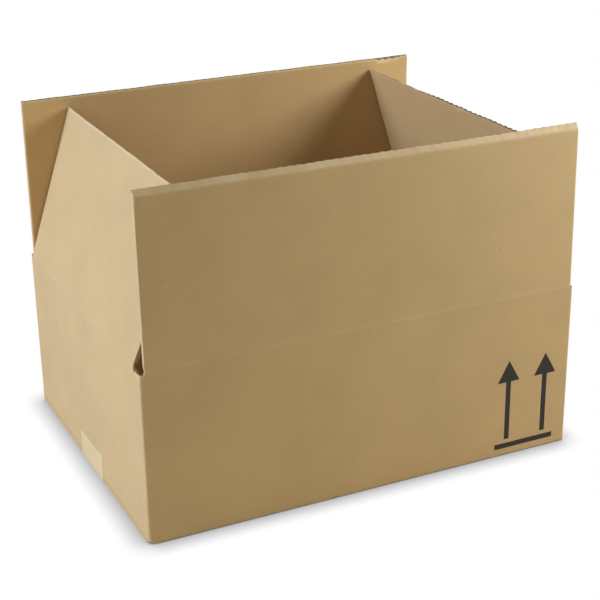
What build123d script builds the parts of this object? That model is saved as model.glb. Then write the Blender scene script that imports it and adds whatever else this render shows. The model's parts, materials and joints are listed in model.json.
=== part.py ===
from build123d import *
import os
from math import radians, tan

# Open slotted carton of single-wall corrugated board, standing on its taped bottom.
# X runs along the long walls, Y from the front wall to the back wall, Z up.
# The origin is the middle of the underside.

# Corrugated sheet
board = 4.2
liner = 0.4
medium = 0.4
flute_pitch = 8.0
flute_tip = 1.8
flute_web = 0.55

# Carton
box_length = 400.0
box_width = 300.0
crease_height = 153.0
fold_inner_radius = 1.8
flap_depth = 144.0
slot_overcut = 1.5
layer_gap = 0.4

# Slots between the flaps, from each outer corner to the flap's cut side
front_left_inset = 4.8
front_right_inset = 3.0
back_left_inset = 2.6
back_right_inset = 2.0
minor_front_inset = 11.0
minor_back_inset = 7.0

# Flap creases and leans at rest, inwards from upright
crease_gap = 0.3
mitre_angle = 46.5
crushed_zone = 12.0
front_lean = 1.0
back_lean = 0.6
left_lean = 18.3
right_lean = 17.0

# Glued lap inside the back wall, beside the right wall
lap_width = 35.0
lap_trim = 8.0
lap_relief = 2.5
seam_setback = 0.6

# Tape over the bottom seam, turned up both short walls
tape_thickness = 0.2
tape_width = 60.0
tape_turn_up = 26.5
tape_shift = 5.0
tape_bend_radius = 2.0
tape_end_clearance = 0.5

overrun = 0.5

fold_radius = fold_inner_radius + board
half_length = box_length / 2
half_width = box_width / 2
outer_layer = tape_thickness
inner_layer = outer_layer + board + layer_gap
corner_foot = outer_layer + board / 2
wall_top = crease_height - crease_gap / 2
bottom_reach = flap_depth + board / 2
mitre_slope = tan(radians(mitre_angle))
front_span = (front_left_inset - half_length, half_length - front_right_inset)
back_span = (back_right_inset - half_length, half_length - back_left_inset)
left_span = (minor_back_inset - half_width, half_width - minor_front_inset)
right_span = (minor_front_inset - half_width, half_width - minor_back_inset)


def block(x_span, y_span, z_span):
    """A box given by its start and end along each axis."""
    spans = (x_span, y_span, z_span)
    middle = [(start + end) / 2 for start, end in spans]
    return Pos(*middle) * Box(*[end - start for start, end in spans])


def quarter_fold(centre_x, centre_y, side_x, side_y):
    """Section of the sheet bent round a quarter turn, in the quadrant given by the two signs."""
    quadrant = Pos(side_x * fold_radius / 2, side_y * fold_radius / 2) * Rectangle(fold_radius, fold_radius)
    bend = (Circle(fold_radius) - Circle(fold_inner_radius)) & quadrant
    return Pos(centre_x, centre_y) * bend


def lap_fold():
    """Section of the fold at the back right corner, which turns in behind the back wall."""
    return quarter_fold(half_length - fold_radius, half_width - board - fold_radius, 1, 1)


def wall_section():
    """Plan of the four walls, with folded corners and the lapped one at the back right."""
    outside = RectangleRounded(box_length, box_width, fold_radius)
    inside = RectangleRounded(box_length - 2 * board, box_width - 2 * board, fold_inner_radius)
    joint_side = board + fold_radius
    joint = Pos(half_length - joint_side / 2, half_width - joint_side / 2) * Rectangle(joint_side, joint_side)
    back_end = Pos(half_length - (joint_side + seam_setback) / 2, half_width - board / 2) * Rectangle(
        joint_side - seam_setback, board
    )
    kept_width = fold_radius - lap_relief
    kept_place = Pos(half_length - kept_width / 2, half_width - board - fold_radius / 2)
    kept = kept_place * Rectangle(kept_width, fold_radius)
    return outside - inside - joint + back_end + (lap_fold() & kept)


def glued_lap():
    """The sheet's other end, glued flat against the inside of the back wall."""
    bottom = inner_layer + board + lap_trim
    height = wall_top - lap_trim - bottom
    tab_place = Pos(half_length - fold_radius - lap_width / 2, half_width - board - board / 2)
    tab = tab_place * Rectangle(lap_width, board)
    return Pos(0, 0, bottom) * extrude(tab + lap_fold(), height)


def facing(turn_angle, wall_distance, piece):
    """Turn a piece that was made for the front wall to another wall, and set it at that distance."""
    return Rot(0, 0, turn_angle) * Pos(0, -wall_distance, 0) * piece


def bottom_flap(fold_span, plate_span, layer):
    """A bottom flap with its bend, made for the front wall with the wall's outer face at Y = 0."""
    bend = Plane.YZ * quarter_fold(fold_radius, layer + fold_radius, -1, -1)
    bend = Pos(fold_span[0], 0, 0) * extrude(bend, fold_span[1] - fold_span[0])
    return bend + block(plate_span, (fold_radius, bottom_reach), (layer, layer + board))


def bend_room(fold_span, layer):
    """What the wall gives up above the floor for a bottom flap's bend."""
    return block(fold_span, (-overrun, board + overrun), (0, layer + fold_radius))


def crease_bevel(span):
    """Wedge off the top of a wall, so that the flap above can fold inwards on its outer paper."""
    depth = board + overrun
    wedge = Polyline(
        (0, wall_top),
        (depth, wall_top - depth * mitre_slope),
        (depth, wall_top + overrun),
        (0, wall_top + overrun),
        close=True,
    )
    return Pos(span[0], 0, 0) * extrude(Plane.YZ * make_face(wedge), span[1] - span[0])


def corner_slot(side_x, side_y, inset_x, inset_y):
    """End of the slot between two flaps, cut a little past the crease at one corner."""
    x_span = sorted(side_x * (half_length + reach) for reach in (-inset_x, overrun))
    y_span = sorted(side_y * (half_width + reach) for reach in (-inset_y, overrun))
    return block(x_span, y_span, (crease_height - slot_overcut, crease_height + overrun))


def make_carton():
    """Walls, bottom flaps and glued lap: one sheet, folded and glued."""
    fold_end = half_length - fold_radius
    plate_end = half_length - tape_bend_radius - tape_end_clearance
    carton = Pos(0, 0, corner_foot) * extrude(wall_section(), wall_top - corner_foot)
    carton -= corner_slot(-1, -1, front_left_inset, minor_front_inset)
    carton -= corner_slot(1, -1, front_right_inset, minor_front_inset)
    carton -= corner_slot(-1, 1, back_left_inset, minor_back_inset)
    carton -= corner_slot(1, 1, back_right_inset, minor_back_inset)
    for turn_angle, span in ((0, front_span), (180, back_span)):
        carton -= facing(turn_angle, half_width, crease_bevel(span))
        carton -= facing(turn_angle, half_width, bend_room((-fold_end, fold_end), outer_layer))
        flap = bottom_flap((-fold_end, fold_end), (-plate_end, plate_end), outer_layer)
        carton += facing(turn_angle, half_width, flap)
    for turn_angle, span in ((-90, left_span), (90, right_span)):
        carton -= facing(turn_angle, half_length, crease_bevel(span))
        carton -= facing(turn_angle, half_length, bend_room(span, inner_layer))
        carton += facing(turn_angle, half_length, bottom_flap(span, span, inner_layer))
    return carton + glued_lap()


def flute_channels(span):
    """Hollows between the fluted paper and the two liners, open at the flap's cut edge."""
    count = int((span[1] - span[0]) / flute_pitch) - 1
    first = (span[0] + span[1] - (count - 1) * flute_pitch) / 2
    wide = flute_pitch - flute_tip - 2 * flute_web
    near_outer = [(-wide / 2, liner), (wide / 2, liner)]
    near_inner = [(flute_tip / 2, board - liner - medium), (-flute_tip / 2, board - liner - medium)]
    outer_hollow = make_face(Polyline(*near_outer, *near_inner, close=True))
    inner_hollow = Pos(0, board) * Rot(0, 0, 180) * outer_hollow
    hollows = [Pos(first + number * flute_pitch, 0) * outer_hollow for number in range(count)]
    hollows += [Pos(first + (number + 0.5) * flute_pitch, 0) * inner_hollow for number in range(count - 1)]
    depth = flap_depth - crushed_zone + overrun
    return [Pos(0, 0, crushed_zone) * extrude(hollow, depth) for hollow in hollows]


def make_flap(turn_angle, wall_distance, span, lean):
    """A top flap on its crease: the sheet, bevelled at the crease, with its flutes open at the far edge."""
    profile = Polyline(
        (0, crease_gap / 2),
        (0, flap_depth),
        (board, flap_depth),
        (board, crease_gap / 2 + board * mitre_slope),
        close=True,
    )
    flap = Pos(span[0], 0, 0) * extrude(Plane.YZ * make_face(profile), span[1] - span[0])
    flap -= flute_channels(span)
    return facing(turn_angle, wall_distance, Pos(0, 0, crease_height) * Rot(-lean, 0, 0) * flap)


def make_tape():
    """Strip of tape under the seam of the outer bottom flaps and up both short walls, stuck on a
    little towards the front."""
    outside = Rectangle(box_length + 2 * tape_thickness, tape_turn_up, align=(Align.CENTER, Align.MIN))
    outside = fillet(outside.vertices().group_by(Axis.Y)[0], tape_bend_radius + tape_thickness)
    inside = Pos(0, tape_thickness) * Rectangle(box_length, tape_turn_up, align=(Align.CENTER, Align.MIN))
    inside = fillet(inside.vertices().group_by(Axis.Y)[0], tape_bend_radius)
    return Pos(0, -tape_shift, 0) * extrude(Plane.XZ * (outside - inside), tape_width / 2, both=True)


pieces = {
    "carton": make_carton(),
    "front_flap": make_flap(0, half_width, front_span, front_lean),
    "back_flap": make_flap(180, half_width, back_span, back_lean),
    "left_flap": make_flap(-90, half_length, left_span, left_lean),
    "right_flap": make_flap(90, half_length, right_span, right_lean),
    "bottom_tape": make_tape(),
}

os.makedirs("parts", exist_ok=True)
for name, piece in pieces.items():
    export_step(piece, os.path.join("parts", name + ".step"))
    print(name, "volume", round(piece.volume, 1), "box", piece.bounding_box())
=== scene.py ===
import bpy
import json
import math
import numpy as np
from mathutils import Matrix, Vector, noise


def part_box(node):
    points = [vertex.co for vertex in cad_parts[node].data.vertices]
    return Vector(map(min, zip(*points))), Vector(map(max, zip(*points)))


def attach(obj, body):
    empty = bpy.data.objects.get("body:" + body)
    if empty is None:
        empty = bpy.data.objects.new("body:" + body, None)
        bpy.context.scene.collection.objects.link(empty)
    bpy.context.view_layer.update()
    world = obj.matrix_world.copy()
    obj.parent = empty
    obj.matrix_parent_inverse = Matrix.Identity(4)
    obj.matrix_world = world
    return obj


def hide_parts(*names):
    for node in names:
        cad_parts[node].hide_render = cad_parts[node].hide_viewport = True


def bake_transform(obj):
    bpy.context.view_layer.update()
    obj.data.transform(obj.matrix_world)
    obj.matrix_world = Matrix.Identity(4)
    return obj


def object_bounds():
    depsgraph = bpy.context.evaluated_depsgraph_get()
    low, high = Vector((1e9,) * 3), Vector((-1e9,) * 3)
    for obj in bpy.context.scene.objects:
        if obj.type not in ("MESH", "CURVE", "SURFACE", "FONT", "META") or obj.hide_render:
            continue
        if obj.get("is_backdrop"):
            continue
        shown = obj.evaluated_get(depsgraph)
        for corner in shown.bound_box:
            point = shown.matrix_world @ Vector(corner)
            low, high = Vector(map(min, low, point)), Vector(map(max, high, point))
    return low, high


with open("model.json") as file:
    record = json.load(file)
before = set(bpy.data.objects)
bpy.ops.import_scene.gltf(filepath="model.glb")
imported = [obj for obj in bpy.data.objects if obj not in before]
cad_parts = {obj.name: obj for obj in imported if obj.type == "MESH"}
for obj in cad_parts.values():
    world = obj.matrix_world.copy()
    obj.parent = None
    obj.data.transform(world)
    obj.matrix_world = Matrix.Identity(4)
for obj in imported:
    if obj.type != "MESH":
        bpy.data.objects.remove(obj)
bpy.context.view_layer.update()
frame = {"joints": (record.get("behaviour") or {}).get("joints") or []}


# Walls
# One sheet of brown corrugated board, scored, folded round the corners and glued to itself by a
# lap inside the back wall. Lengths in this file are millimetres until a mesh is made.

MM = 0.001
board = 4.2
slack = 0.25
fold_radius, fold_inner_radius = 2.2, 0.5
fold_rise = 6.0
wall_spacing = 5.0
corner_steps = 10
slot_overcut, slot_bevel = 2.2, 3.5
strip_reach = 7.0
seam_setback = 0.6
lap_width = 35.0
lap_low, lap_high = 17.0, 144.85
lap_relief_angle = 40.0
outer_layer, inner_layer = 0.2, 4.55
corner_foot = 1.0

heading = {"front": 0.0, "right": 90.0, "back": 180.0, "left": -90.0}
creases = {joint["child"]: joint for joint in frame["joints"]}
crease_height = creases["front"]["pos_m"][2] / MM
wall_distance = {side: math.hypot(*creases[side]["pos_m"][:2]) / MM - slack for side in heading}
half_length, half_width = wall_distance["right"], wall_distance["back"]
fold_x, fold_y = half_length - fold_radius, half_width - fold_radius
lap_fold_y = fold_y - board
straight_run = {
    "front": (-fold_x, fold_x),
    "back": (seam_setback - half_length, fold_x),
    "left": (-fold_y, fold_y),
    "right": (-fold_y, lap_fold_y),
}
slot_floor = crease_height - slot_overcut
strip_floor = crease_height - strip_reach


def flap_span(side):
    """Where a top flap starts and ends along its side, read from its solid."""
    low, high = (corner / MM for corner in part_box(side + "_flap"))
    return {
        "front": (low.x, high.x),
        "right": (low.y, high.y),
        "back": (-high.x, -low.x),
        "left": (-high.y, -low.y),
    }[side]


def place(side, along, inwards, up):
    """Points of one side, from runs along it, in from its outer paper and up from the floor."""
    along, inwards, up = np.broadcast_arrays(along, inwards, up)
    turn = math.radians(heading[side])
    out = inwards - wall_distance[side]
    x = along * math.cos(turn) - out * math.sin(turn)
    y = along * math.sin(turn) + out * math.cos(turn)
    return np.stack([x, y, up], -1).astype(float)


def ease(share):
    """Smooth step from 0 to 1."""
    share = np.clip(share, 0.0, 1.0)
    return share * share * (3 - 2 * share)


def waves(first, second, size, seed):
    """Smooth noise from -1 to 1 over two runs, with waves of about that size."""
    first, second = np.broadcast_arrays(first, second)
    value = np.frompyfunc(lambda a, b: noise.noise(Vector((a / size, b / size, seed))), 2, 1)
    return value(first, second).astype(float)


# Each side has its own waves, and each use of them adds a whole number to keep apart from the others.
wave_seed = {"front": 3.7, "right": 11.3, "back": 23.9, "left": 41.1}


def unevenness(side, along, up):
    """How far in the sheet lies from its flat plane, where handling has left it slightly wavy."""
    long_wave, short_wave, corner_fade = 90.0, 32.0, 35.0
    long_height, short_height, mean_depth = 0.22, 0.05, 0.12
    height = long_height * waves(along, up, long_wave, wave_seed[side])
    height = height + short_height * waves(along, up, short_wave, wave_seed[side] + 5)
    start, end = straight_run[side]
    fade = ease(np.minimum(along - start, end - along) / corner_fade) * ease((up - fold_rise) / corner_fade)
    return (mean_depth + height) * fade


def kraft_material(name, colour, worn_colour):
    """Brown kraft paper: cloudy tone, fibres lying round the box, sparse specks and paler worn edges."""
    material = bpy.data.materials.new(name)
    material.use_nodes = True
    nodes, links = material.node_tree.nodes, material.node_tree.links
    shader = nodes["Principled BSDF"]
    shader.inputs["Roughness"].default_value = 0.82
    shader.inputs["Specular IOR Level"].default_value = 0.3
    shader.inputs["Sheen Weight"].default_value = 0.12
    shader.inputs["Sheen Roughness"].default_value = 0.5
    place_node = nodes.new("ShaderNodeTexCoord")

    def grain(scale, stretch, detail, low, high):
        """A noise spread between two tones."""
        mapping = nodes.new("ShaderNodeMapping")
        mapping.inputs["Scale"].default_value = stretch
        links.new(place_node.outputs["Object"], mapping.inputs["Vector"])
        texture = nodes.new("ShaderNodeTexNoise")
        texture.inputs["Scale"].default_value = scale
        texture.inputs["Detail"].default_value = detail
        links.new(mapping.outputs["Vector"], texture.inputs["Vector"])
        spread = nodes.new("ShaderNodeMapRange")
        spread.inputs["From Min"].default_value = 0.3
        spread.inputs["From Max"].default_value = 0.7
        spread.inputs["To Min"].default_value = low
        spread.inputs["To Max"].default_value = high
        links.new(texture.outputs["Fac"], spread.inputs["Value"])
        return texture, spread

    def times(first, second):
        """Product of two values."""
        product = nodes.new("ShaderNodeMath")
        product.operation = "MULTIPLY"
        links.new(first, product.inputs[0])
        links.new(second, product.inputs[1])
        return product.outputs["Value"]

    clouds = grain(22.0, (1, 1, 1), 2.0, 0.965, 1.035)[1]
    fibres = grain(160.0, (1, 1, 4), 3.0, 0.98, 1.02)[1]
    fuzz_texture, fuzz = grain(1100.0, (1, 1, 1), 2.0, 0.965, 1.035)
    tone = times(times(clouds.outputs["Result"], fibres.outputs["Result"]), fuzz.outputs["Result"])

    speck_cells = nodes.new("ShaderNodeTexVoronoi")
    speck_cells.inputs["Scale"].default_value = 30.0
    links.new(place_node.outputs["Object"], speck_cells.inputs["Vector"])
    speck_size = nodes.new("ShaderNodeMapRange")
    speck_size.inputs["From Min"].default_value = 0.012
    speck_size.inputs["From Max"].default_value = 0.03
    speck_size.inputs["To Min"].default_value = 0.55
    speck_size.inputs["To Max"].default_value = 1.0
    links.new(speck_cells.outputs["Distance"], speck_size.inputs["Value"])
    tone = times(tone, speck_size.outputs["Result"])

    worn = nodes.new("ShaderNodeAttribute")
    worn.attribute_name = "worn"
    paper = nodes.new("ShaderNodeMix")
    paper.data_type = "RGBA"
    paper.inputs["A"].default_value = (*colour, 1)
    paper.inputs["B"].default_value = (*worn_colour, 1)
    links.new(worn.outputs["Fac"], paper.inputs["Factor"])
    toned = nodes.new("ShaderNodeVectorMath")
    toned.operation = "SCALE"
    links.new(paper.outputs["Result"], toned.inputs["Vector"])
    links.new(tone, toned.inputs["Scale"])
    links.new(toned.outputs["Vector"], shader.inputs["Base Color"])

    bump = nodes.new("ShaderNodeBump")
    bump.inputs["Strength"].default_value = 0.25
    bump.inputs["Distance"].default_value = 0.0002
    links.new(fuzz_texture.outputs["Fac"], bump.inputs["Height"])
    links.new(bump.outputs["Normal"], shader.inputs["Normal"])
    return material


kraft = kraft_material("kraft_paper", (0.525, 0.382, 0.194), (0.68, 0.56, 0.37))
inner_kraft = kraft_material("inner_kraft_paper", (0.55, 0.374, 0.167), (0.68, 0.54, 0.33))
cut_edge = kraft_material("cut_edge", (0.50, 0.365, 0.19), (0.66, 0.52, 0.33))
# The paper inside the flutes is darker than the rest, to stand in for the shade there.
hollow_paper = kraft_material("hollow_paper", (0.24, 0.165, 0.085), (0.24, 0.165, 0.085))


hard_edge_angle = 38.0


def make_piece(name, points, faces, finishes, materials, worn):
    """A mesh object from points in millimetres, smooth but for its hard edges."""
    points = np.asarray(points)
    _, first, number = np.unique(np.round(points, 3), axis=0, return_index=True, return_inverse=True)
    number = number.ravel()
    merged = [list(dict.fromkeys(int(number[corner]) for corner in face)) for face in faces]
    whole = [index for index, face in enumerate(merged) if len(face) > 2]
    mesh = bpy.data.meshes.new(name)
    mesh.from_pydata([tuple(point) for point in points[first] * MM], [], [merged[index] for index in whole])
    for material in materials:
        mesh.materials.append(material)
    mesh.polygons.foreach_set("material_index", [finishes[index] for index in whole])
    mesh.attributes.new("worn", "FLOAT", "POINT").data.foreach_set("value", np.asarray(worn)[first])
    mesh.polygons.foreach_set("use_smooth", [True] * len(mesh.polygons))
    mesh.set_sharp_from_angle(angle=math.radians(hard_edge_angle))
    piece = bpy.data.objects.new(name, mesh)
    bpy.context.scene.collection.objects.link(piece)
    return piece


def sheet_piece(name, patches, materials):
    """One sheet with thickness, from patches of its outer and inner faces and the cells kept of each.
    Like points are shared, and every open side gets a cut edge."""
    points, worn, numbers, outer_faces = [], [], {}, []
    for outer, inner, kept, wear in patches:
        pairs = np.concatenate([outer, inner], -1).reshape(-1, 6)
        keys = [tuple(pair) for pair in np.round(pairs, 3)]
        for key, pair, value in zip(keys, pairs, np.broadcast_to(wear, outer.shape[:2]).ravel()):
            if key not in numbers:
                numbers[key] = len(points)
                points.append(pair)
                worn.append(value)
        grid = np.array([numbers[key] for key in keys]).reshape(outer.shape[:2])
        for row, column in np.argwhere(kept):
            corners = (
                grid[row, column],
                grid[row, column + 1],
                grid[row + 1, column + 1],
                grid[row + 1, column],
            )
            outer_faces.append(list(dict.fromkeys(int(corner) for corner in corners)))
    count = len(points)
    inner_faces = [[corner + count for corner in reversed(face)] for face in outer_faces]
    sides = {(face[i - 1], face[i]) for face in outer_faces for i in range(len(face))}
    rims = [[b, a, a + count, b + count] for a, b in sorted(sides) if (b, a) not in sides]
    finishes = [0] * len(outer_faces) + [1] * len(inner_faces) + [2] * len(rims)
    points = np.array(points)
    both = np.concatenate([points[:, :3], points[:, 3:]])
    used = sorted({corner for face in outer_faces + inner_faces for corner in face})
    number = {old: new for new, old in enumerate(used)}
    faces = [[number[corner] for corner in face] for face in outer_faces + inner_faces + rims]
    wear = np.array(worn + worn)[used]
    return make_piece(name, both[used], faces, finishes, materials, wear)


def stops(start, end, spacing, *breaks):
    """Even stops from start to end, with the given breaks among them."""
    even = np.linspace(start, end, int(abs(end - start) / spacing) + 2)
    inside = [stop for stop in breaks if min(start, end) < stop < max(start, end)]
    apart = [stop for stop in even[1:-1] if all(abs(stop - other) > spacing / 4 for other in inside)]
    return np.array(sorted([start, *apart, *inside, end]))


wall_rows = np.array([
    corner_foot, 3.4, outer_layer + fold_rise, 8.4, inner_layer + fold_rise, 14.0, lap_low,
    24.0, 34.0, 46.0, 60.0, 75.0, 90.0, 105.0, 118.0, 128.0, 136.0, 142.0, lap_high,
    strip_floor, 149.0, slot_floor,
])
inner_rows = wall_rows - slot_bevel * ease((wall_rows - strip_floor) / (slot_floor - strip_floor))
columns = []
near_corner_runs = (1.5, 3.5)
knock_depth, knock_reach = 3.2, 11.0
knock_direction = np.array([0.6, 0.6, 0.53])
slot_rub, slot_rub_reach, fold_rub = 0.5, 4.0, 0.12
tolerance = 0.01


def inside_corner(side, along):
    """Where along the inner paper a point lies opposite one of the outer paper, short of the corners."""
    reach = board + fold_inner_radius - fold_radius
    start, end = straight_run[side]
    start = start if side == "back" else start + reach
    return np.clip(along, start, end - reach)


def wall_columns(side):
    """Columns of a straight wall, which stands on its bottom fold and ends below its crease strip."""
    start, end = straight_run[side]
    near_corners = [start + run for run in near_corner_runs] + [end - run for run in near_corner_runs]
    for along in stops(start, end, wall_spacing, *flap_span(side), *foot_span[side], *near_corners):
        outer = place(side, along, unevenness(side, along, wall_rows), wall_rows)
        inner_depth = board + unevenness(side, along, wall_rows)
        inner = place(side, inside_corner(side, along), inner_depth, inner_rows)
        columns.append((outer, inner, side, along))


def corner_columns(side, corner_x, corner_y, start_angle, breaks=()):
    """Columns round a corner fold, given where its two outer faces would meet."""
    corner = np.array([corner_x, corner_y])
    middle = math.radians(start_angle + 45.0)
    outwards = np.sign([math.cos(middle), math.sin(middle)])
    for angle in stops(start_angle, start_angle + 90.0, 90.0 / corner_steps, *breaks):
        turn = np.array([math.cos(math.radians(angle)), math.sin(math.radians(angle))])
        outer_point = corner - fold_radius * outwards + fold_radius * turn
        inner_point = corner - (board + fold_inner_radius) * outwards + fold_inner_radius * turn
        outer = np.array([[*outer_point, row] for row in wall_rows])
        inner = np.array([[*inner_point, row] for row in inner_rows])
        columns.append((outer, inner, side, angle))


foot_span = {
    "front": straight_run["front"],
    "back": straight_run["front"],
    "left": flap_span("left"),
    "right": flap_span("right"),
}
wall_columns("back")
corner_columns("back_left", -half_length, half_width, 90.0)
wall_columns("left")
corner_columns("front_left", -half_length, -half_width, 180.0)
wall_columns("front")
corner_columns("front_right", half_length, -half_width, 270.0)
wall_columns("right")
corner_columns("lap_fold", half_length, half_width - board, 0.0, [lap_relief_angle])
for past_fold in stops(0.0, lap_width, wall_spacing):
    along = past_fold - fold_x
    waviness = unevenness("back", along, wall_rows)
    inner_along = max(along, board + fold_inner_radius - half_length)
    outer = place("back", along, board + waviness, wall_rows)
    inner = place("back", inner_along, 2 * board + waviness, inner_rows)
    columns.append((outer, inner, "lap", along))


def wall_cell(side, start, end):
    """Lowest and highest edge of the sheet between two neighbouring columns."""
    middle = (start + end) / 2
    if side in heading:
        on_foot = foot_span[side][0] < middle < foot_span[side][1]
        layer = outer_layer if side in ("front", "back") else inner_layer
        under_flap = flap_span(side)[0] < middle < flap_span(side)[1]
        return layer + fold_rise if on_foot else corner_foot, strip_floor if under_flap else slot_floor
    if side == "lap" or (side == "lap_fold" and middle > lap_relief_angle):
        return lap_low, lap_high
    return corner_foot, slot_floor


def knocked(points):
    """Points of the sheet after a knock has rounded the bottom corner at the front left."""
    offset = points - np.array([-half_length, -half_width, 0.0])
    push = knock_depth * np.clip(1 - np.linalg.norm(offset, axis=-1) / knock_reach, 0, 1) ** 2
    return points + push[..., None] * knock_direction


kept = np.zeros((len(wall_rows) - 1, len(columns) - 1), bool)
for number, (first, second) in enumerate(zip(columns, columns[1:])):
    if first[2] == second[2]:
        low, high = wall_cell(first[2], first[3], second[3])
        kept[:, number] = (wall_rows[:-1] >= low - tolerance) & (wall_rows[1:] <= high + tolerance)
ring_outer = knocked(np.stack([column[0] for column in columns], 1))
ring_inner = knocked(np.stack([column[1] for column in columns], 1))
slot_wear = slot_rub * ease((wall_rows - slot_floor + slot_rub_reach) / slot_rub_reach)
flat_sides = (*heading, "lap")
fold_wear = np.array([0.0 if column[2] in flat_sides else fold_rub for column in columns])
patches = [(ring_outer, ring_inner, kept, np.maximum(slot_wear[:, None], fold_wear[None, :]))]


# Bottom flaps
# The same sheet, folded under at the foot of each wall: the two short flaps lie inside, and the
# two long ones close over them from below and meet along the taped seam.

fold_steps = 8
foot_radius = {"front": 2.2, "back": 2.2, "left": 0.6, "right": 0.6}
foot_inner_radius = 0.5
bottom_reach = 146.1
plate_end = 199.65
plate_rows = np.array([bottom_reach, 145.2, 141.0, 130.0, 110.0, 85.0, 60.0, 35.0, 18.0, 6.5])
free_end_lift = 0.8
free_end_rub, free_end_rub_reach = 0.4, 2.0


def bottom_flap(side, layer, plate_span, lift):
    """Faces of a bottom flap, from its free end to the top of its bend."""
    wall_along = np.array([column[3] for column in columns if column[2] == side])
    low, high = foot_span[side]
    wall_along = wall_along[(wall_along >= low - tolerance) & (wall_along <= high + tolerance)]
    along = np.array(sorted({plate_span[0], *wall_along, plate_span[1]}))
    turns = np.radians(np.linspace(0, 90, fold_steps + 1))
    sideways, upwards = 1 - np.sin(turns), 1 - np.cos(turns)
    raised = lift * (plate_rows / bottom_reach) ** 3
    wall_foot = layer + fold_rise
    outer_in = np.concatenate([plate_rows, foot_radius[side] * sideways, [0.0]])
    inner_in = np.concatenate([plate_rows, board + foot_inner_radius * sideways, [board]])
    outer_up = np.concatenate([layer + raised, layer + foot_radius[side] * upwards, [wall_foot]])
    top_layer = layer + board
    inner_up = np.concatenate([top_layer + raised, top_layer + foot_inner_radius * upwards, [wall_foot]])
    waviness = np.zeros((len(outer_in), len(along)))
    waviness[-1] = unevenness(side, along, wall_foot)
    outer = place(side, along[None, :], outer_in[:, None] + waviness, outer_up[:, None])
    inner_along = np.broadcast_to(along, waviness.shape).copy()
    inner_along[len(plate_rows):] = inside_corner(side, along)
    inner = place(side, inner_along, inner_in[:, None] + waviness, inner_up[:, None])
    cells = np.ones((len(outer_in) - 1, len(along) - 1), bool)
    middles = (along[:-1] + along[1:]) / 2
    cells[len(plate_rows) - 1:, (middles < low) | (middles > high)] = False
    wear = free_end_rub * np.clip(1 - (bottom_reach - outer_in) / free_end_rub_reach, 0, 1)[:, None]
    return knocked(outer), knocked(inner), cells, wear


for side in ("front", "back"):
    patches.append(bottom_flap(side, outer_layer, (-plate_end, plate_end), 0.0))
for side in ("left", "right"):
    patches.append(bottom_flap(side, inner_layer, foot_span[side], free_end_lift))
carton = sheet_piece("carton_sheet", patches, [kraft, inner_kraft, cut_edge])
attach(carton, "box")
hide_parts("carton")


# Bottom tape
# A strip of buff paper tape, stuck under the seam of the long bottom flaps and turned up a short
# way on both short walls, where it is cut off a little askew.

tape_thickness = 0.2
tape_front, tape_back = (corner.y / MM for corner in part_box("bottom_tape"))
tape_bend_radius = 0.5
tape_turn_up = {"left": (24.1, 26.3), "right": (25.8, 24.4)}
tape_end_shares, tape_foot = (1.0, 0.9, 0.6, 0.3, 0.1), 6.0
tape_bend_steps = 6
tape_seam_stops = (20.0, 60.0, 110.0, 160.0)
tape_ragged, tape_ragged_wave = 0.35, 4.0
tape_end_rub = 0.6
tape_columns = 25
tape_rows = np.linspace(tape_back, tape_front, tape_columns)
tape_share = (tape_back - tape_rows) / (tape_back - tape_front)


def tape_material():
    """Paper tape: paler and yellower than the board and a little smoother."""
    material = kraft_material("tape_paper", (0.60, 0.475, 0.262), (0.67, 0.55, 0.34))
    shader = material.node_tree.nodes["Principled BSDF"]
    shader.inputs["Roughness"].default_value = 0.55
    shader.inputs["Specular IOR Level"].default_value = 0.4
    return material


def tape_path(side, offset):
    """Runs of the tape from its end on a short wall to the middle of the seam."""
    back_height, front_height = tape_turn_up[side]
    ragged = tape_ragged * waves(tape_rows, 0.0, tape_ragged_wave, wave_seed[side])
    end_height = back_height + (front_height - back_height) * tape_share - np.abs(ragged)
    turns = np.radians(np.linspace(0, 90, tape_bend_steps + 1))
    radius = tape_bend_radius + offset
    along = -tape_rows if side == "left" else tape_rows
    heights = [end_height * share + (1 - share) * tape_foot for share in tape_end_shares]
    path = [place(side, along, unevenness(side, along, height) - offset, height) for height in heights]
    path += [
        place(side, 0, tape_bend_radius - radius * math.cos(turn),
              tape_bend_radius + tape_thickness - radius * math.sin(turn) + 0 * tape_rows)
        for turn in turns
    ]
    path += [place(side, 0, stop, tape_thickness - offset + 0 * tape_rows) for stop in tape_seam_stops]
    points = np.stack(path, 1)
    points[:, :, 1] = tape_rows[:, None]
    return points


tape_faces = [
    np.concatenate([tape_path("left", offset), tape_path("right", offset)[:, ::-1]], 1)
    for offset in (tape_thickness, 0.0)
]
tape_cells = np.ones((len(tape_rows) - 1, tape_faces[0].shape[1] - 1), bool)
tape_wear = np.zeros(tape_faces[0].shape[:2])
tape_wear[:, [0, -1]] = tape_end_rub
tape_paper = tape_material()
tape = sheet_piece("seam_tape", [(*tape_faces, tape_cells, tape_wear)], [tape_paper] * 3)
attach(tape, "box")
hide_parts("bottom_tape")


# Top flaps
# The sheet goes on above each wall as a flap on a scored crease. Knives have squashed its cut
# sides, and handling has rolled the free edge over, most of all along the front one.

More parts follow.
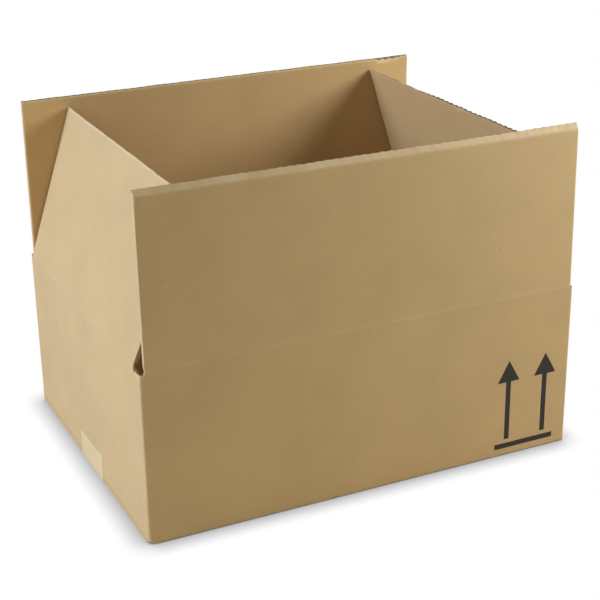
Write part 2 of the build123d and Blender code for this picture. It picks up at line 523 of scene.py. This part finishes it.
hang_angle = 170.0
flap_depth = 144.0
liner = 0.25
pocket_floor = 12.0
column_spacing = 2.0
lean = {side: math.radians(creases[side]["range_deg"][1] - hang_angle) for side in heading}
edge_stops = np.array([0.0, 0.25, 0.6, 1.1, 1.8, 2.8, 4.0, 5.2, 7.0, 9.5])
flap_rows = np.array([
    strip_reach, 9.0, pocket_floor, 18.0, 28.0, 42.0, 58.0, 74.0, 90.0, 106.0, 119.0, 128.0,
])
pocket_row = list(flap_rows).index(pocket_floor)
pinch = {"front": 3.3, "back": 0.9, "left": 3.2, "right": 1.8}
pinch_reach = {"front": 5.2, "back": 1.8, "left": 6.0, "right": 7.0}
pinch_power = {"front": 1.0, "back": 3.0, "left": 1.5, "right": 1.5}
pinch_unevenness, pinch_wave = 0.25, 14.0
least_room, least_hollow = 0.06, 0.05
outer_pinch_share = {"front": 0.97, "back": 0.25, "left": 0.08, "right": 0.95}
edge_trim = {"front": 0.05, "back": 0.2, "left": 2.0, "right": 2.0}
edge_clearance = 0.03
ragged_height, ragged_wave = 0.3, 26.0
fray_height, fray_wave = 0.18, 5.0
rub = {"front": 0.42, "back": 0.2, "left": 0.4, "right": 0.2}
rub_reach = {"front": 5.2, "back": 2.6, "left": 2.6, "right": 2.6}
scallop = {"front": 0.5, "back": 0.1, "left": 0.2, "right": 0.1}
flute_pitch = 8.0
open_flutes_start, open_flutes_end = -191.0, -160.0
open_fade_in, open_fade_out = 4.0, 6.0
lip_drop, hole_drop, hole_phase = 0.3, 1.7, 1.3
lip_rub_reach = 3.0
shut_extra, shut_start, shut_run = 0.8, 10.0, 40.0
torn_along, torn_width, torn_height, torn_rub = -28.0, 9.0, 1.6, 1.3
side_rub, side_rub_reach = 0.25, 1.5
rub_mean, rub_spread, rub_wave, rub_steepness = 0.75, 0.5, 9.0, 4.0
side_pinch, side_reach = 0.9, 1.8
worn_corner_width, worn_corner_height, worn_corner_pinch = 6.0, 26.0, 2.6


def free_edge(side, along):
    """Height of the flap's ragged free edge above the crease."""
    ragged = ragged_height * waves(along, 0.0, ragged_wave, wave_seed[side] + 2)
    ragged = ragged + fray_height * waves(along, 0.0, fray_wave, wave_seed[side] + 3)
    dips = scallop[side] * (0.5 + 0.5 * np.cos(2 * math.pi * along / flute_pitch))
    return flap_depth - edge_clearance - np.maximum(edge_trim[side] - ragged, 0) - dips


def rolled(distance, reach):
    """Share of a roll-over at a distance from the edge, from 1 at the edge to 0 at its reach."""
    inside = np.clip(1 - distance / reach, 0, 1)
    return 1 - np.sqrt(1 - inside**2)


def crushed(side, along):
    """Share of the crush along the free edge. It has left the back flap's last few flutes open, and
    has shut the right flap's between the flutes and towards the back."""
    if side == "back":
        opening = ease((along - open_flutes_start) / open_fade_in)
        return 1 - opening * ease((open_flutes_end - along) / open_fade_out)
    if side == "right":
        between = np.maximum(np.cos(2 * math.pi * along / flute_pitch), 0) ** 2
        return 1 + shut_extra * np.maximum(between, ease((along - shut_start) / shut_run))
    return np.ones(np.shape(along))


def inner_drop(side, along):
    """How far the inner paper has been rubbed down below the outer one, over those open flutes."""
    if side != "back":
        return np.zeros(np.shape(along))
    turn = 2 * math.pi * (along - open_flutes_start) / flute_pitch
    holes = np.maximum(np.cos(turn - hole_phase), 0)
    return (lip_drop + hole_drop * holes) * (1 - crushed(side, along))


def flap_faces(side, along, rise):
    """Depths of a flap's outer and inner papers, in from the wall's outer paper, before it leans."""
    low, high = flap_span(side)
    outer = unevenness(side, along, crease_height + rise)
    uneven_pinch = 1 + pinch_unevenness * waves(along, 0.0, pinch_wave, wave_seed[side] + 4)
    share = np.clip(1 - (free_edge(side, along) - rise) / pinch_reach[side], 0, 1)
    top = pinch[side] * crushed(side, along) * uneven_pinch * share ** pinch_power[side]
    edge = np.minimum(along - low, high - along)
    squeeze = side_pinch * rolled(edge, side_reach) * ease((rise + strip_reach) / strip_reach)
    outer_squash = top * outer_pinch_share[side] + squeeze / 2
    inner_squash = top * (1 - outer_pinch_share[side]) + squeeze / 2
    if side == "front":
        corner_share = ease(1 - (flap_depth - rise) / worn_corner_height)
        corner = worn_corner_pinch * corner_share * rolled(along - low, worn_corner_width)
        outer_squash = np.maximum(outer_squash, corner)
    total = outer_squash + inner_squash
    limit = np.minimum(1, (board - 2 * liner - least_room) / np.maximum(total, 1e-6))
    return outer + outer_squash * limit, outer + board - inner_squash * limit


def widened_slot(along, rise):
    """How far the left flap's front side is trimmed back beside the front corner, where its slot is wider."""
    trim, trim_run, trim_height, trim_fade = 3.4, 9.0, 4.0, 26.0
    near_side = ease((along - flap_span("left")[1] + trim_run) / trim_run)
    near_foot = 1 - ease((rise - trim_height) / trim_fade)
    return trim * near_side * ease((rise + strip_reach) / strip_reach) * near_foot


def leaned(side, along, inwards, rise, share=1.0):
    """Points of a flap, turned inwards about its crease by that share of its lean."""
    if side == "left":
        along = along - widened_slot(along, rise)
    angle = lean[side] * share
    depth = inwards + slack
    tilted = depth * np.cos(angle) + rise * np.sin(angle) - slack
    return place(side, along, tilted, crease_height + rise * np.cos(angle) - depth * np.sin(angle))


def flap_columns(side):
    """Stops along a flap, closer together at its cut sides."""
    low, high = flap_span(side)
    near = edge_stops[:-1]
    even = stops(low + edge_stops[-1], high - edge_stops[-1], column_spacing)
    return np.concatenate([low + near, even, high - near[::-1]])


def edge_wear(side, along, rise):
    """How pale the paper is rubbed near the free edge and the cut sides."""
    low, high = flap_span(side)
    patchy = rub_mean + rub_spread * waves(along, rise, rub_wave, wave_seed[side] + 6)
    below = free_edge(side, along) - rise
    top = rub[side] * ease(rub_steepness * (1 - below / rub_reach[side]))
    if side == "back":
        top = np.maximum(top, (1 - crushed(side, along)) * ease(2 - below / lip_rub_reach))
    if side == "right":
        spot = ((along - torn_along) / torn_width) ** 2 + (below / torn_height) ** 2
        top = np.maximum(top, torn_rub * np.exp(-spot))
    edge = np.clip(1 - np.minimum(along - low, high - along) / side_rub_reach, 0, 1)
    return np.clip(patchy * np.maximum(top, side_rub * edge), 0, 1)


def make_flap(side):
    """The two papers of a flap with the room for the flutes between them, open at the free edge."""
    along = flap_columns(side)[:, None]
    top = free_edge(side, along)
    lower_rise = np.broadcast_to(flap_rows, (len(along), len(flap_rows)))
    rise = np.concatenate([lower_rise, top - edge_stops[::-1]], 1)
    inner_rise = rise - inner_drop(side, along) * ease((rise - flap_rows[-1]) / (top - flap_rows[-1]))
    outer = flap_faces(side, along, rise)[0]
    inner = flap_faces(side, along, inner_rise)[1]
    wear, inner_wear = edge_wear(side, along, rise), edge_wear(side, along, inner_rise)
    hollow, inner_hollow = rise[:, pocket_row:].copy(), inner_rise[:, pocket_row:].copy()
    hollow_outer = outer[:, pocket_row:] + liner
    hollow_inner = np.maximum(inner[:, pocket_row:] - liner, hollow_outer + least_hollow)
    for end in (0, -1):
        for values in (hollow, inner_hollow, hollow_outer, hollow_inner):
            values[end] = values[end, -1]
    rises = np.concatenate([rise, hollow[:, ::-1], inner_hollow, inner_rise[:, ::-1]], 1)
    depths = np.concatenate([outer, hollow_outer[:, ::-1], hollow_inner, inner[:, ::-1]], 1)
    wears = np.concatenate([wear, 0 * hollow, 0 * hollow, inner_wear[:, ::-1]], 1)
    points = leaned(side, along, depths, rises)
    count, loop = depths.shape
    rows, deep = rise.shape[1], hollow.shape[1]
    faces, finishes = [], []
    rim_steps = {rows - 1, rows + 2 * deep - 1, loop - 1}
    inner_start = rows + 2 * deep
    for column in range(count - 1):
        for step in range(loop):
            after = (step + 1) % loop
            here, there = column * loop, (column + 1) * loop
            faces.append((here + step, there + step, there + after, here + after))
            finishes.append(2 if step in rim_steps else 1 if step >= inner_start else 0 if step < rows else 3)
    for start, flip in ((0, False), ((count - 1) * loop, True)):
        caps = [(step, step + 1, loop - 2 - step, loop - 1 - step) for step in range(rows - 2)]
        caps.append((rows - 2, rows - 1, rows, rows + 2 * deep - 1, rows + 2 * deep, rows + 2 * deep + 1))
        for cap in caps:
            corners = [start + step for step in cap]
            faces.append(corners[::-1] if flip else corners)
            finishes.append(2)
    papers = [kraft, inner_kraft, cut_edge, hollow_paper]
    flap = make_piece(side + "_flap_papers", points.reshape(-1, 3), faces, finishes, papers, wears.ravel())
    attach(flap, side)
    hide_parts(side + "_flap")


for side in heading:
    make_flap(side)


# Creases
# A scoring wheel has squashed the sheet along each crease from inside, which leaves a low bead on
# the outer paper. Here the sheet bends from the wall into the flap, as the flap is built.

bead_height = {"front": 0.13, "back": 0.13, "left": 0.06, "right": 0.06}
bead_width, bead_drop = 2.6, 2.0
score_depth, score_width = 1.9, 2.6
crease_rub, crease_rub_width = 0.8, 1.4
crease_rub_mean, crease_rub_spread, crease_rub_wave = 0.8, 0.6, 18.0
blend_reach = 5.0
strip_steps = 28
strip_rows = np.linspace(-strip_reach, strip_reach, strip_steps + 1)


def make_crease(side):
    """The strip of the sheet across a crease, from the wall to the flap."""
    along = flap_columns(side)[None, :]
    rise = strip_rows[:, None]
    outer, inner = flap_faces(side, along, rise)
    outer = outer - bead_height[side] * np.exp(-(((rise + bead_drop) / bead_width) ** 2))
    inner = inner - score_depth * np.exp(-((rise / score_width) ** 2))
    share = ease((rise + strip_reach) / (2 * strip_reach))
    faces = [leaned(side, along, depth, rise, share) for depth in (outer, inner)]
    cells = np.ones((len(strip_rows) - 1, along.shape[1] - 1), bool)
    patchy = crease_rub_mean + crease_rub_spread * waves(along, rise, crease_rub_wave, wave_seed[side] + 7)
    wear = crease_rub * bead_height[side] * np.exp(-((rise / crease_rub_width) ** 2)) * patchy
    patch = (*faces, cells, np.clip(wear, 0, 1))
    strip = sheet_piece(side + "_crease_strip", [patch], [kraft, inner_kraft, cut_edge])
    ends = [leaned(side, 0.0, -slack, reach, reach > 0)[()] * MM for reach in (-blend_reach, blend_reach)]
    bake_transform(strip)


for side in heading:
    make_crease(side)


# Flutes
# The wavy paper glued between the two flat ones, with its flutes running up the flap. It shows
# at the free edges, where some flutes stand open and others are crushed shut.

flute_paper = 0.22
flute_stops = 30
wave_points = 17
strip_length = 1.0
merge_distance = 0.001
flute_setback, flute_drop_share = 0.15, 0.4
flute_foot = pocket_floor + 0.3
paper_clearance = 0.02
flute_edge_angle = 50.0


def flute_tree():
    """One flute as a bent strip of paper, repeated side by side and given its thickness."""
    tree = bpy.data.node_groups.new("fluted_paper", "GeometryNodeTree")
    sockets = {}
    for name, kind in (("Pitch", "Float"), ("Height", "Float"), ("Length", "Float"), ("Paper", "Float"),
                       ("Count", "Int"), ("Finish", "Material")):
        sockets[name] = tree.interface.new_socket(name, in_out="INPUT", socket_type="NodeSocket" + kind)
    tree.interface.new_socket("Geometry", in_out="OUTPUT", socket_type="NodeSocketGeometry")
    nodes, links = tree.nodes, tree.links
    given = nodes.new("NodeGroupInput")

    def math_node(operation, first, second):
        """A sum on two values or sockets."""
        node = nodes.new("ShaderNodeMath")
        node.operation = operation
        for socket, value in zip(node.inputs, (first, second)):
            if isinstance(value, (int, float)):
                socket.default_value = value
            elif value is not None:
                links.new(value, socket)
        return node.outputs["Value"]

    strip = nodes.new("GeometryNodeMeshGrid")
    strip.inputs["Vertices X"].default_value = wave_points
    strip.inputs["Vertices Y"].default_value = flute_stops
    links.new(given.outputs["Pitch"], strip.inputs["Size X"])
    links.new(given.outputs["Length"], strip.inputs["Size Y"])
    position = nodes.new("GeometryNodeInputPosition")
    parts = nodes.new("ShaderNodeSeparateXYZ")
    links.new(position.outputs["Position"], parts.inputs["Vector"])
    turns = math_node("DIVIDE", parts.outputs["X"], given.outputs["Pitch"])
    wave = math_node("COSINE", math_node("MULTIPLY", turns, 2 * math.pi), None)
    lift = math_node("MULTIPLY", wave, math_node("MULTIPLY", given.outputs["Height"], 0.5))
    offset = nodes.new("ShaderNodeCombineXYZ")
    links.new(lift, offset.inputs["Z"])
    bend = nodes.new("GeometryNodeSetPosition")
    links.new(strip.outputs["Mesh"], bend.inputs["Geometry"])
    links.new(offset.outputs["Vector"], bend.inputs["Offset"])

    spacing = nodes.new("ShaderNodeCombineXYZ")
    links.new(given.outputs["Pitch"], spacing.inputs["X"])
    row = nodes.new("GeometryNodeMeshLine")
    links.new(given.outputs["Count"], row.inputs["Count"])
    links.new(spacing.outputs["Vector"], row.inputs["Offset"])
    repeat = nodes.new("GeometryNodeInstanceOnPoints")
    links.new(row.outputs["Mesh"], repeat.inputs["Points"])
    links.new(bend.outputs["Geometry"], repeat.inputs["Instance"])
    realize = nodes.new("GeometryNodeRealizeInstances")
    links.new(repeat.outputs["Instances"], realize.inputs["Geometry"])
    joined = nodes.new("GeometryNodeMergeByDistance")
    joined.inputs["Distance"].default_value = merge_distance
    links.new(realize.outputs["Geometry"], joined.inputs["Geometry"])

    thicken = nodes.new("GeometryNodeExtrudeMesh")
    thicken.inputs["Individual"].default_value = False
    links.new(joined.outputs["Geometry"], thicken.inputs["Mesh"])
    links.new(given.outputs["Paper"], thicken.inputs["Offset Scale"])
    underside = nodes.new("GeometryNodeFlipFaces")
    links.new(joined.outputs["Geometry"], underside.inputs["Mesh"])
    both = nodes.new("GeometryNodeJoinGeometry")
    links.new(thicken.outputs["Mesh"], both.inputs["Geometry"])
    links.new(underside.outputs["Mesh"], both.inputs["Geometry"])
    closed = nodes.new("GeometryNodeMergeByDistance")
    closed.inputs["Distance"].default_value = merge_distance
    links.new(both.outputs["Geometry"], closed.inputs["Geometry"])
    finish = nodes.new("GeometryNodeSetMaterial")
    links.new(closed.outputs["Geometry"], finish.inputs["Geometry"])
    links.new(given.outputs["Finish"], finish.inputs["Material"])
    result = nodes.new("NodeGroupOutput")
    links.new(finish.outputs["Geometry"], result.inputs["Geometry"])
    return tree, {name: socket.identifier for name, socket in sockets.items()}


fluted_paper, flute_inputs = flute_tree()
flute_kraft = kraft_material("flute_paper", (0.42, 0.295, 0.14), (0.60, 0.46, 0.28))


def make_flutes(side):
    """The fluted paper of one flap, squeezed to the room between its two flat papers."""
    low, high = flap_span(side)
    count = int((high - low) / flute_pitch) - 1
    wave_height = board - 2 * liner - flute_paper
    carrier = bpy.data.objects.new(side + "_flutes_carrier", bpy.data.meshes.new(side + "_flutes_carrier"))
    bpy.context.scene.collection.objects.link(carrier)
    nodes = carrier.modifiers.new("fluted_paper", "NODES")
    nodes.node_group = fluted_paper
    sizes = {"Pitch": flute_pitch, "Height": wave_height, "Length": strip_length, "Paper": flute_paper,
             "Count": count, "Finish": flute_kraft}
    for name, value in sizes.items():
        nodes[flute_inputs[name]] = value
    evaluated = carrier.evaluated_get(bpy.context.evaluated_depsgraph_get())
    mesh = bpy.data.meshes.new_from_object(evaluated)
    mesh.name = side + "_flutes"
    bpy.data.objects.remove(carrier)

    flat = np.zeros(len(mesh.vertices) * 3)
    mesh.vertices.foreach_get("co", flat)
    flat = flat.reshape(-1, 3)
    along = flat[:, 0] + (low + high - (count - 1) * flute_pitch) / 2
    share = 1 - (0.5 - flat[:, 1] / strip_length) ** 2
    depth_share = (flat[:, 2] - flat[:, 2].min()) / np.ptp(flat[:, 2])
    end = free_edge(side, along) - flute_setback - flute_drop_share * inner_drop(side, along)
    rise = flute_foot + (end - flute_foot) * np.clip(share, 0, 1)
    outer, inner = flap_faces(side, along, rise)
    room_low = outer + liner + paper_clearance
    room_high = np.maximum(inner - liner, room_low + paper_clearance)
    points = leaned(side, along, room_low + depth_share * (room_high - room_low), rise)
    mesh.vertices.foreach_set("co", (points * MM).ravel())
    mesh.polygons.foreach_set("use_smooth", [True] * len(mesh.polygons))
    mesh.set_sharp_from_angle(angle=math.radians(flute_edge_angle))
    flutes = bpy.data.objects.new(side + "_flutes", mesh)
    bpy.context.scene.collection.objects.link(flutes)
    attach(flutes, side)


for side in heading:
    make_flutes(side)


# Printed arrows
# Two upright arrows over a bar, printed low on the right of the front wall in dark ink. The mark
# is the common one for which way up a box stands.

ink_rise, ink_sink = 0.03, 0.04
bar_span, bar_low, bar_high = (125.2, 185.85), 7.55, 12.5
arrow_places = (137.3, 174.9)
shaft_width, shaft_low, head_low, head_tip, head_width = 5.0, 16.3, 72.35, 92.6, 22.4
ink_columns, shaft_rows, head_rows = 7, 12, 7


def ink_material():
    """Printing ink soaked into the paper: matt, nearly black and a little uneven."""
    material = kraft_material("printing_ink", (0.030, 0.025, 0.022), (0.030, 0.025, 0.022))
    material.node_tree.nodes["Principled BSDF"].inputs["Specular IOR Level"].default_value = 0.2
    return material


def printed(rows):
    """A patch of ink from rows of (height, left, right) on the front wall."""
    heights, lefts, rights = (np.array(values)[:, None] for values in zip(*rows))
    shares = np.linspace(0, 1, ink_columns)[None, :]
    along = lefts + (rights - lefts) * shares
    depth = unevenness("front", along, heights)
    outer = place("front", along, depth - ink_rise, heights)
    inner = place("front", along, depth + ink_sink, heights)
    return outer, inner, np.ones((len(rows) - 1, ink_columns - 1), bool), 0.0


ink_patches = [printed([(height, *bar_span) for height in (bar_low, (bar_low + bar_high) / 2, bar_high)])]
for middle in arrow_places:
    shaft = [(height, middle - shaft_width / 2, middle + shaft_width / 2)
             for height in np.linspace(shaft_low, head_low, shaft_rows)]
    half_widths = np.linspace(head_width / 2, 0, head_rows)
    head = [(head_low + (head_tip - head_low) * (1 - half / half_widths[0]), middle - half, middle + half)
            for half in half_widths]
    ink_patches += [printed(shaft), printed(head)]
ink = ink_material()
arrows = sheet_piece("printed_arrows", ink_patches, [ink] * 3)
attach(arrows, "box")


# Floor
# A plain white studio floor that runs into the white background. All that is seen of it is the
# soft shadow close round the foot of the box.

floor_radius, floor_drop, floor_sides = 6.0, 0.05, 96
contact_shadow_reach = 0.021
floor_mesh = bpy.data.meshes.new("studio_floor")
floor_turns = np.linspace(0, 2 * math.pi, floor_sides, endpoint=False)
floor_rim = floor_radius * np.stack([np.cos(floor_turns), np.sin(floor_turns)], -1)
floor_mesh.from_pydata([(x, y, -floor_drop * MM) for x, y in floor_rim], [], [list(range(floor_sides))])
floor = bpy.data.objects.new("studio_floor", floor_mesh)
bpy.context.scene.collection.objects.link(floor)
floor_paint = bpy.data.materials.new("studio_floor")
floor_paint.use_nodes = True
floor_nodes, floor_links = floor_paint.node_tree.nodes, floor_paint.node_tree.links
floor_shader = floor_nodes["Principled BSDF"]
floor_shader.inputs["Base Color"].default_value = (0.84, 0.75, 0.54, 1)
floor_shader.inputs["Roughness"].default_value = 0.9
floor_shader.inputs["Specular IOR Level"].default_value = 0.1
contact_shadow = floor_nodes.new("ShaderNodeAmbientOcclusion")
contact_shadow.samples = 24
contact_shadow.inputs["Distance"].default_value = contact_shadow_reach
contact_shadow.inputs["Color"].default_value = (1, 1, 1, 1)
white = floor_nodes.new("ShaderNodeEmission")
floor_links.new(contact_shadow.outputs["Color"], white.inputs["Color"])
floor_rays = floor_nodes.new("ShaderNodeLightPath")
floor_seen = floor_nodes.new("ShaderNodeMath")
floor_seen.operation = "MAXIMUM"
floor_links.new(floor_rays.outputs["Is Camera Ray"], floor_seen.inputs[0])
floor_links.new(floor_rays.outputs["Is Glossy Ray"], floor_seen.inputs[1])
floor_seen_through = floor_nodes.new("ShaderNodeMath")
floor_seen_through.operation = "MAXIMUM"
floor_links.new(floor_seen.outputs["Value"], floor_seen_through.inputs[0])
floor_links.new(floor_rays.outputs["Is Transmission Ray"], floor_seen_through.inputs[1])
floor_look = floor_nodes.new("ShaderNodeMixShader")
floor_links.new(floor_seen_through.outputs["Value"], floor_look.inputs["Fac"])
floor_links.new(floor_shader.outputs["BSDF"], floor_look.inputs[1])
floor_links.new(white.outputs["Emission"], floor_look.inputs[2])
floor_links.new(floor_look.outputs["Shader"], floor_nodes["Material Output"].inputs["Surface"])
floor_mesh.materials.append(floor_paint)
floor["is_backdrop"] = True


# Light
# Two large soft lamps, one high on the left and one on the right near the front, with a weak
# even light from all round.

def soft_lamp(name, position, target, size, power, colour):
    """A square lamp that faces a point."""
    data = bpy.data.lights.new(name, "AREA")
    data.shape = "SQUARE"
    data.size = size
    data.energy = power
    data.color = colour
    lamp = bpy.data.objects.new(name, data)
    lamp.location = position
    lamp.rotation_mode = "QUATERNION"
    lamp.rotation_quaternion = (Vector(target) - Vector(position)).to_track_quat("-Z", "Y")
    bpy.context.scene.collection.objects.link(lamp)


soft_lamp("left_lamp", (-1.7, 0.1, 1.0), (0.0, 0.0, 0.15), 0.9, 38.5, (0.71, 0.80, 1.0))
soft_lamp("right_lamp", (0.62, -0.38, 0.60), (0.0, 0.0, 0.15), 0.35, 5.8, (0.93, 0.96, 1.0))

world = bpy.data.worlds.new("studio")
world.use_nodes = True
bpy.context.scene.world = world
world_nodes, world_links = world.node_tree.nodes, world.node_tree.links
ambient = world_nodes["Background"]
ambient.inputs["Color"].default_value = (1, 0.74, 0.4, 1)
ambient.inputs["Strength"].default_value = 0.18
backdrop = world_nodes.new("ShaderNodeBackground")
backdrop.inputs["Color"].default_value = (1, 1, 1, 1)
backdrop.inputs["Strength"].default_value = 1.0
rays = world_nodes.new("ShaderNodeLightPath")
seen = world_nodes.new("ShaderNodeMath")
seen.operation = "MAXIMUM"
world_links.new(rays.outputs["Is Camera Ray"], seen.inputs[0])
world_links.new(rays.outputs["Is Glossy Ray"], seen.inputs[1])
seen_through = world_nodes.new("ShaderNodeMath")
seen_through.operation = "MAXIMUM"
world_links.new(seen.outputs["Value"], seen_through.inputs[0])
world_links.new(rays.outputs["Is Transmission Ray"], seen_through.inputs[1])
either = world_nodes.new("ShaderNodeMixShader")
world_links.new(seen_through.outputs["Value"], either.inputs["Fac"])
world_links.new(ambient.outputs["Background"], either.inputs[1])
world_links.new(backdrop.outputs["Background"], either.inputs[2])
world_links.new(either.outputs["Shader"], world_nodes["World Output"].inputs["Surface"])
bpy.context.scene.view_settings.view_transform = "Standard"


# Camera
# It looks at the box from the front left and above, as the photograph does.

camera_place = (-0.50751, -1.08922, 0.61476)
camera_lens = 85.527
view_azimuth, view_elevation, view_roll = 25.294, 22.342, -0.778
camera_data = bpy.data.cameras.new("camera")
camera_data.lens = camera_lens
camera_data.sensor_width = 36.0
camera = bpy.data.objects.new("camera", camera_data)
azimuth, elevation = math.radians(view_azimuth), math.radians(view_elevation)
forward = Vector((
    math.sin(azimuth) * math.cos(elevation),
    math.cos(azimuth) * math.cos(elevation),
    -math.sin(elevation),
))
level = forward.to_track_quat("-Z", "Y").to_matrix()
rolled_view = level @ Matrix.Rotation(math.radians(view_roll), 3, "Z")
camera.matrix_world = Matrix.Translation(camera_place) @ rolled_view.to_4x4()
bpy.context.scene.collection.objects.link(camera)
bpy.context.scene.camera = camera


# Size of the dressed box

bpy.context.view_layer.update()
low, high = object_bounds()
